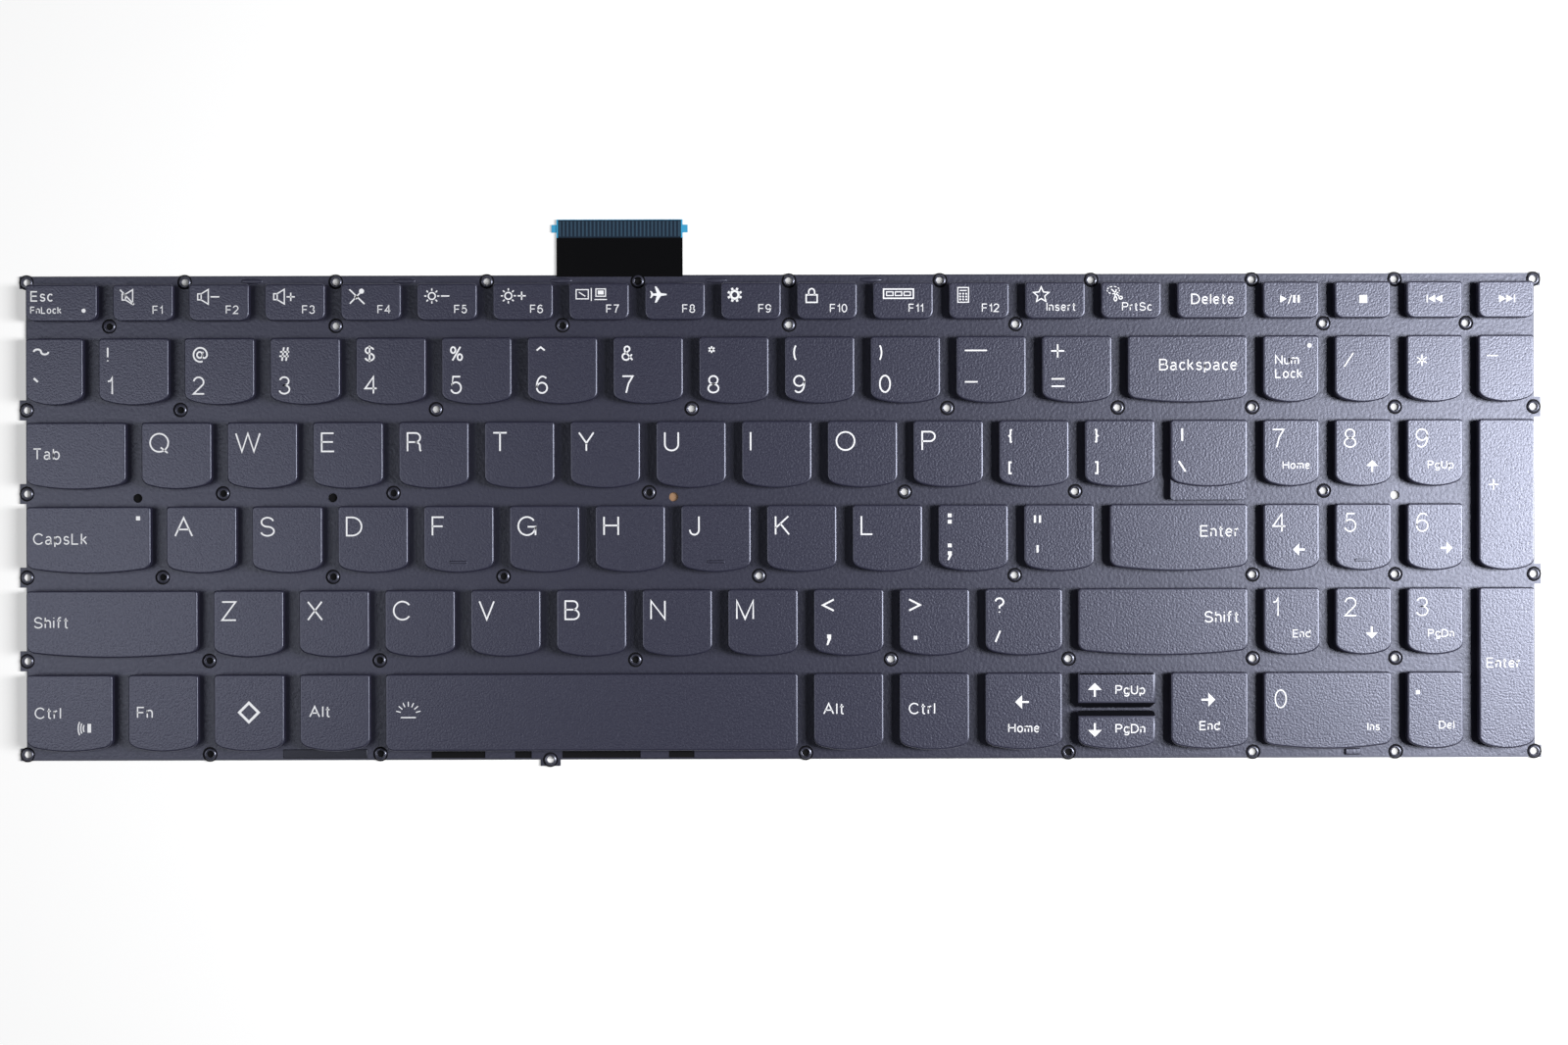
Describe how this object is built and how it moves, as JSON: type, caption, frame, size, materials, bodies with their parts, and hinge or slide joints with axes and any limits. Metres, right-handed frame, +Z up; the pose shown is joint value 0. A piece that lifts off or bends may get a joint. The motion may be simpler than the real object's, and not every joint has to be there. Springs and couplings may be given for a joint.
{
  "type": "laptop keyboard",
  "caption": "Flat laptop replacement keyboard: island keys on scissor levers and rubber domes, a number pad, a plate with stake holes and a ribbon tail at the rear.",
  "frame": {"origin": "centre of the base plate on its underside", "axes": "+X along the rows to the number pad, +Y to the rear edge with the ribbon tail, +Z up to the key tops"},
  "size_m": [0.334, 0.1199, 0.0043],
  "materials": {
    "keycap": "fine-grained matte",
    "plate": "satin black",
    "membrane": "satin",
    "ribbon": "satin black film",
    "stiffener": "translucent blue film",
    "dome": "milky silicone",
    "lever": "moulded",
    "wire": "bright wire"
  },
  "bodies": {
    "base": {"base_plate": "plate", "function_keycaps": "keycap", "number_keycaps": "keycap", "pad_keycaps": "keycap", "ribbon_stiffener": "stiffener", "ribbon_tail": "ribbon", "rubber_domes": "dome", "scissor_levers": "lever", "stabiliser_bars": "wire", "switch_membrane": "membrane"},
    "key_a": {"key_a": "keycap"},
    "key_alt_left": {"key_alt_left": "keycap"},
    "key_alt_right": {"key_alt_right": "keycap"},
    "key_apostrophe": {"key_apostrophe": "keycap"},
    "key_arrow_down": {"key_arrow_down": "keycap"},
    "key_arrow_left": {"key_arrow_left": "keycap"},
    "key_arrow_right": {"key_arrow_right": "keycap"},
    "key_arrow_up": {"key_arrow_up": "keycap"},
    "key_b": {"key_b": "keycap"},
    "key_backslash": {"key_backslash": "keycap"},
    "key_c": {"key_c": "keycap"},
    "key_caps_lock": {"key_caps_lock": "keycap"},
    "key_comma": {"key_comma": "keycap"},
    "key_ctrl_left": {"key_ctrl_left": "keycap"},
    "key_ctrl_right": {"key_ctrl_right": "keycap"},
    "key_d": {"key_d": "keycap"},
    "key_e": {"key_e": "keycap"},
    "key_enter": {"key_enter": "keycap"},
    "key_f": {"key_f": "keycap"},
    "key_fn": {"key_fn": "keycap"},
    "key_g": {"key_g": "keycap"},
    "key_h": {"key_h": "keycap"},
    "key_i": {"key_i": "keycap"},
    "key_j": {"key_j": "keycap"},
    "key_k": {"key_k": "keycap"},
    "key_l": {"key_l": "keycap"},
    "key_left_bracket": {"key_left_bracket": "keycap"},
    "key_m": {"key_m": "keycap"},
    "key_n": {"key_n": "keycap"},
    "key_o": {"key_o": "keycap"},
    "key_p": {"key_p": "keycap"},
    "key_period": {"key_period": "keycap"},
    "key_q": {"key_q": "keycap"},
    "key_r": {"key_r": "keycap"},
    "key_right_bracket": {"key_right_bracket": "keycap"},
    "key_s": {"key_s": "keycap"},
    "key_semicolon": {"key_semicolon": "keycap"},
    "key_shift_left": {"key_shift_left": "keycap"},
    "key_shift_right": {"key_shift_right": "keycap"},
    "key_slash": {"key_slash": "keycap"},
    "key_space": {"key_space": "keycap"},
    "key_system": {"key_system": "keycap"},
    "key_t": {"key_t": "keycap"},
    "key_tab": {"key_tab": "keycap"},
    "key_u": {"key_u": "keycap"},
    "key_v": {"key_v": "keycap"},
    "key_w": {"key_w": "keycap"},
    "key_x": {"key_x": "keycap"},
    "key_y": {"key_y": "keycap"},
    "key_z": {"key_z": "keycap"}
  },
  "joints": [
    {"name": "press_a", "type": "slide", "parent": "base", "child": "key_a", "axis": [0, 0, -1], "range_m": [0, 0.0014], "stiffness_N_per_m": 250, "springref_m": -0.0016, "deforming": ["rubber_domes", "scissor_levers"]},
    {"name": "press_alt_left", "type": "slide", "parent": "base", "child": "key_alt_left", "axis": [0, 0, -1], "range_m": [0, 0.0014], "stiffness_N_per_m": 250, "springref_m": -0.0016, "deforming": ["rubber_domes", "scissor_levers"]},
    {"name": "press_alt_right", "type": "slide", "parent": "base", "child": "key_alt_right", "axis": [0, 0, -1], "range_m": [0, 0.0014], "stiffness_N_per_m": 250, "springref_m": -0.0016, "deforming": ["rubber_domes", "scissor_levers"]},
    {"name": "press_apostrophe", "type": "slide", "parent": "base", "child": "key_apostrophe", "axis": [0, 0, -1], "range_m": [0, 0.0014], "stiffness_N_per_m": 250, "springref_m": -0.0016, "deforming": ["rubber_domes", "scissor_levers"]},
    {"name": "press_arrow_down", "type": "slide", "parent": "base", "child": "key_arrow_down", "axis": [0, 0, -1], "range_m": [0, 0.0014], "stiffness_N_per_m": 250, "springref_m": -0.0016, "deforming": ["rubber_domes"]},
    {"name": "press_arrow_left", "type": "slide", "parent": "base", "child": "key_arrow_left", "axis": [0, 0, -1], "range_m": [0, 0.0014], "stiffness_N_per_m": 250, "springref_m": -0.0016, "deforming": ["rubber_domes", "scissor_levers"]},
    {"name": "press_arrow_right", "type": "slide", "parent": "base", "child": "key_arrow_right", "axis": [0, 0, -1], "range_m": [0, 0.0014], "stiffness_N_per_m": 250, "springref_m": -0.0016, "deforming": ["rubber_domes", "scissor_levers"]},
    {"name": "press_arrow_up", "type": "slide", "parent": "base", "child": "key_arrow_up", "axis": [0, 0, -1], "range_m": [0, 0.0014], "stiffness_N_per_m": 250, "springref_m": -0.0016, "deforming": ["rubber_domes"]},
    {"name": "press_b", "type": "slide", "parent": "base", "child": "key_b", "axis": [0, 0, -1], "range_m": [0, 0.0014], "stiffness_N_per_m": 250, "springref_m": -0.0016, "deforming": ["rubber_domes", "scissor_levers"]},
    {"name": "press_backslash", "type": "slide", "parent": "base", "child": "key_backslash", "axis": [0, 0, -1], "range_m": [0, 0.0014], "stiffness_N_per_m": 250, "springref_m": -0.0016, "deforming": ["rubber_domes", "scissor_levers"]},
    {"name": "press_c", "type": "slide", "parent": "base", "child": "key_c", "axis": [0, 0, -1], "range_m": [0, 0.0014], "stiffness_N_per_m": 250, "springref_m": -0.0016, "deforming": ["rubber_domes", "scissor_levers"]},
    {"name": "press_caps_lock", "type": "slide", "parent": "base", "child": "key_caps_lock", "axis": [0, 0, -1], "range_m": [0, 0.0014], "stiffness_N_per_m": 250, "springref_m": -0.0016, "deforming": ["rubber_domes", "scissor_levers", "stabiliser_bars"]},
    {"name": "press_comma", "type": "slide", "parent": "base", "child": "key_comma", "axis": [0, 0, -1], "range_m": [0, 0.0014], "stiffness_N_per_m": 250, "springref_m": -0.0016, "deforming": ["rubber_domes", "scissor_levers"]},
    {"name": "press_ctrl_left", "type": "slide", "parent": "base", "child": "key_ctrl_left", "axis": [0, 0, -1], "range_m": [0, 0.0014], "stiffness_N_per_m": 250, "springref_m": -0.0016, "deforming": ["rubber_domes", "scissor_levers"]},
    {"name": "press_ctrl_right", "type": "slide", "parent": "base", "child": "key_ctrl_right", "axis": [0, 0, -1], "range_m": [0, 0.0014], "stiffness_N_per_m": 250, "springref_m": -0.0016, "deforming": ["rubber_domes", "scissor_levers"]},
    {"name": "press_d", "type": "slide", "parent": "base", "child": "key_d", "axis": [0, 0, -1], "range_m": [0, 0.0014], "stiffness_N_per_m": 250, "springref_m": -0.0016, "deforming": ["rubber_domes", "scissor_levers"]},
    {"name": "press_e", "type": "slide", "parent": "base", "child": "key_e", "axis": [0, 0, -1], "range_m": [0, 0.0014], "stiffness_N_per_m": 250, "springref_m": -0.0016, "deforming": ["rubber_domes", "scissor_levers"]},
    {"name": "press_enter", "type": "slide", "parent": "base", "child": "key_enter", "axis": [0, 0, -1], "range_m": [0, 0.0014], "stiffness_N_per_m": 250, "springref_m": -0.0016, "deforming": ["rubber_domes", "scissor_levers", "stabiliser_bars"]},
    {"name": "press_f", "type": "slide", "parent": "base", "child": "key_f", "axis": [0, 0, -1], "range_m": [0, 0.0014], "stiffness_N_per_m": 250, "springref_m": -0.0016, "deforming": ["rubber_domes", "scissor_levers"]},
    {"name": "press_fn", "type": "slide", "parent": "base", "child": "key_fn", "axis": [0, 0, -1], "range_m": [0, 0.0014], "stiffness_N_per_m": 250, "springref_m": -0.0016, "deforming": ["rubber_domes", "scissor_levers"]},
    {"name": "press_g", "type": "slide", "parent": "base", "child": "key_g", "axis": [0, 0, -1], "range_m": [0, 0.0014], "stiffness_N_per_m": 250, "springref_m": -0.0016, "deforming": ["rubber_domes", "scissor_levers"]},
    {"name": "press_h", "type": "slide", "parent": "base", "child": "key_h", "axis": [0, 0, -1], "range_m": [0, 0.0014], "stiffness_N_per_m": 250, "springref_m": -0.0016, "deforming": ["rubber_domes", "scissor_levers"]},
    {"name": "press_i", "type": "slide", "parent": "base", "child": "key_i", "axis": [0, 0, -1], "range_m": [0, 0.0014], "stiffness_N_per_m": 250, "springref_m": -0.0016, "deforming": ["rubber_domes", "scissor_levers"]},
    {"name": "press_j", "type": "slide", "parent": "base", "child": "key_j", "axis": [0, 0, -1], "range_m": [0, 0.0014], "stiffness_N_per_m": 250, "springref_m": -0.0016, "deforming": ["rubber_domes", "scissor_levers"]},
    {"name": "press_k", "type": "slide", "parent": "base", "child": "key_k", "axis": [0, 0, -1], "range_m": [0, 0.0014], "stiffness_N_per_m": 250, "springref_m": -0.0016, "deforming": ["rubber_domes", "scissor_levers"]},
    {"name": "press_l", "type": "slide", "parent": "base", "child": "key_l", "axis": [0, 0, -1], "range_m": [0, 0.0014], "stiffness_N_per_m": 250, "springref_m": -0.0016, "deforming": ["rubber_domes", "scissor_levers"]},
    {"name": "press_left_bracket", "type": "slide", "parent": "base", "child": "key_left_bracket", "axis": [0, 0, -1], "range_m": [0, 0.0014], "stiffness_N_per_m": 250, "springref_m": -0.0016, "deforming": ["rubber_domes", "scissor_levers"]},
    {"name": "press_m", "type": "slide", "parent": "base", "child": "key_m", "axis": [0, 0, -1], "range_m": [0, 0.0014], "stiffness_N_per_m": 250, "springref_m": -0.0016, "deforming": ["rubber_domes", "scissor_levers"]},
    {"name": "press_n", "type": "slide", "parent": "base", "child": "key_n", "axis": [0, 0, -1], "range_m": [0, 0.0014], "stiffness_N_per_m": 250, "springref_m": -0.0016, "deforming": ["rubber_domes", "scissor_levers"]},
    {"name": "press_o", "type": "slide", "parent": "base", "child": "key_o", "axis": [0, 0, -1], "range_m": [0, 0.0014], "stiffness_N_per_m": 250, "springref_m": -0.0016, "deforming": ["rubber_domes", "scissor_levers"]},
    {"name": "press_p", "type": "slide", "parent": "base", "child": "key_p", "axis": [0, 0, -1], "range_m": [0, 0.0014], "stiffness_N_per_m": 250, "springref_m": -0.0016, "deforming": ["rubber_domes", "scissor_levers"]},
    {"name": "press_period", "type": "slide", "parent": "base", "child": "key_period", "axis": [0, 0, -1], "range_m": [0, 0.0014], "stiffness_N_per_m": 250, "springref_m": -0.0016, "deforming": ["rubber_domes", "scissor_levers"]},
    {"name": "press_q", "type": "slide", "parent": "base", "child": "key_q", "axis": [0, 0, -1], "range_m": [0, 0.0014], "stiffness_N_per_m": 250, "springref_m": -0.0016, "deforming": ["rubber_domes", "scissor_levers"]},
    {"name": "press_r", "type": "slide", "parent": "base", "child": "key_r", "axis": [0, 0, -1], "range_m": [0, 0.0014], "stiffness_N_per_m": 250, "springref_m": -0.0016, "deforming": ["rubber_domes", "scissor_levers"]},
    {"name": "press_right_bracket", "type": "slide", "parent": "base", "child": "key_right_bracket", "axis": [0, 0, -1], "range_m": [0, 0.0014], "stiffness_N_per_m": 250, "springref_m": -0.0016, "deforming": ["rubber_domes", "scissor_levers"]},
    {"name": "press_s", "type": "slide", "parent": "base", "child": "key_s", "axis": [0, 0, -1], "range_m": [0, 0.0014], "stiffness_N_per_m": 250, "springref_m": -0.0016, "deforming": ["rubber_domes", "scissor_levers"]},
    {"name": "press_semicolon", "type": "slide", "parent": "base", "child": "key_semicolon", "axis": [0, 0, -1], "range_m": [0, 0.0014], "stiffness_N_per_m": 250, "springref_m": -0.0016, "deforming": ["rubber_domes", "scissor_levers"]},
    {"name": "press_shift_left", "type": "slide", "parent": "base", "child": "key_shift_left", "axis": [0, 0, -1], "range_m": [0, 0.0014], "stiffness_N_per_m": 250, "springref_m": -0.0016, "deforming": ["rubber_domes", "scissor_levers", "stabiliser_bars"]},
    {"name": "press_shift_right", "type": "slide", "parent": "base", "child": "key_shift_right", "axis": [0, 0, -1], "range_m": [0, 0.0014], "stiffness_N_per_m": 250, "springref_m": -0.0016, "deforming": ["rubber_domes", "scissor_levers", "stabiliser_bars"]},
    {"name": "press_slash", "type": "slide", "parent": "base", "child": "key_slash", "axis": [0, 0, -1], "range_m": [0, 0.0014], "stiffness_N_per_m": 250, "springref_m": -0.0016, "deforming": ["rubber_domes", "scissor_levers"]},
    {"name": "press_space", "type": "slide", "parent": "base", "child": "key_space", "axis": [0, 0, -1], "range_m": [0, 0.0014], "stiffness_N_per_m": 250, "springref_m": -0.0016, "deforming": ["rubber_domes", "scissor_levers", "stabiliser_bars"]},
    {"name": "press_system", "type": "slide", "parent": "base", "child": "key_system", "axis": [0, 0, -1], "range_m": [0, 0.0014], "stiffness_N_per_m": 250, "springref_m": -0.0016, "deforming": ["rubber_domes", "scissor_levers"]},
    {"name": "press_t", "type": "slide", "parent": "base", "child": "key_t", "axis": [0, 0, -1], "range_m": [0, 0.0014], "stiffness_N_per_m": 250, "springref_m": -0.0016, "deforming": ["rubber_domes", "scissor_levers"]},
    {"name": "press_tab", "type": "slide", "parent": "base", "child": "key_tab", "axis": [0, 0, -1], "range_m": [0, 0.0014], "stiffness_N_per_m": 250, "springref_m": -0.0016, "deforming": ["rubber_domes", "scissor_levers"]},
    {"name": "press_u", "type": "slide", "parent": "base", "child": "key_u", "axis": [0, 0, -1], "range_m": [0, 0.0014], "stiffness_N_per_m": 250, "springref_m": -0.0016, "deforming": ["rubber_domes", "scissor_levers"]},
    {"name": "press_v", "type": "slide", "parent": "base", "child": "key_v", "axis": [0, 0, -1], "range_m": [0, 0.0014], "stiffness_N_per_m": 250, "springref_m": -0.0016, "deforming": ["rubber_domes", "scissor_levers"]},
    {"name": "press_w", "type": "slide", "parent": "base", "child": "key_w", "axis": [0, 0, -1], "range_m": [0, 0.0014], "stiffness_N_per_m": 250, "springref_m": -0.0016, "deforming": ["rubber_domes", "scissor_levers"]},
    {"name": "press_x", "type": "slide", "parent": "base", "child": "key_x", "axis": [0, 0, -1], "range_m": [0, 0.0014], "stiffness_N_per_m": 250, "springref_m": -0.0016, "deforming": ["rubber_domes", "scissor_levers"]},
    {"name": "press_y", "type": "slide", "parent": "base", "child": "key_y", "axis": [0, 0, -1], "range_m": [0, 0.0014], "stiffness_N_per_m": 250, "springref_m": -0.0016, "deforming": ["rubber_domes", "scissor_levers"]},
    {"name": "press_z", "type": "slide", "parent": "base", "child": "key_z", "axis": [0, 0, -1], "range_m": [0, 0.0014], "stiffness_N_per_m": 250, "springref_m": -0.0016, "deforming": ["rubber_domes", "scissor_levers"]}
  ]
}
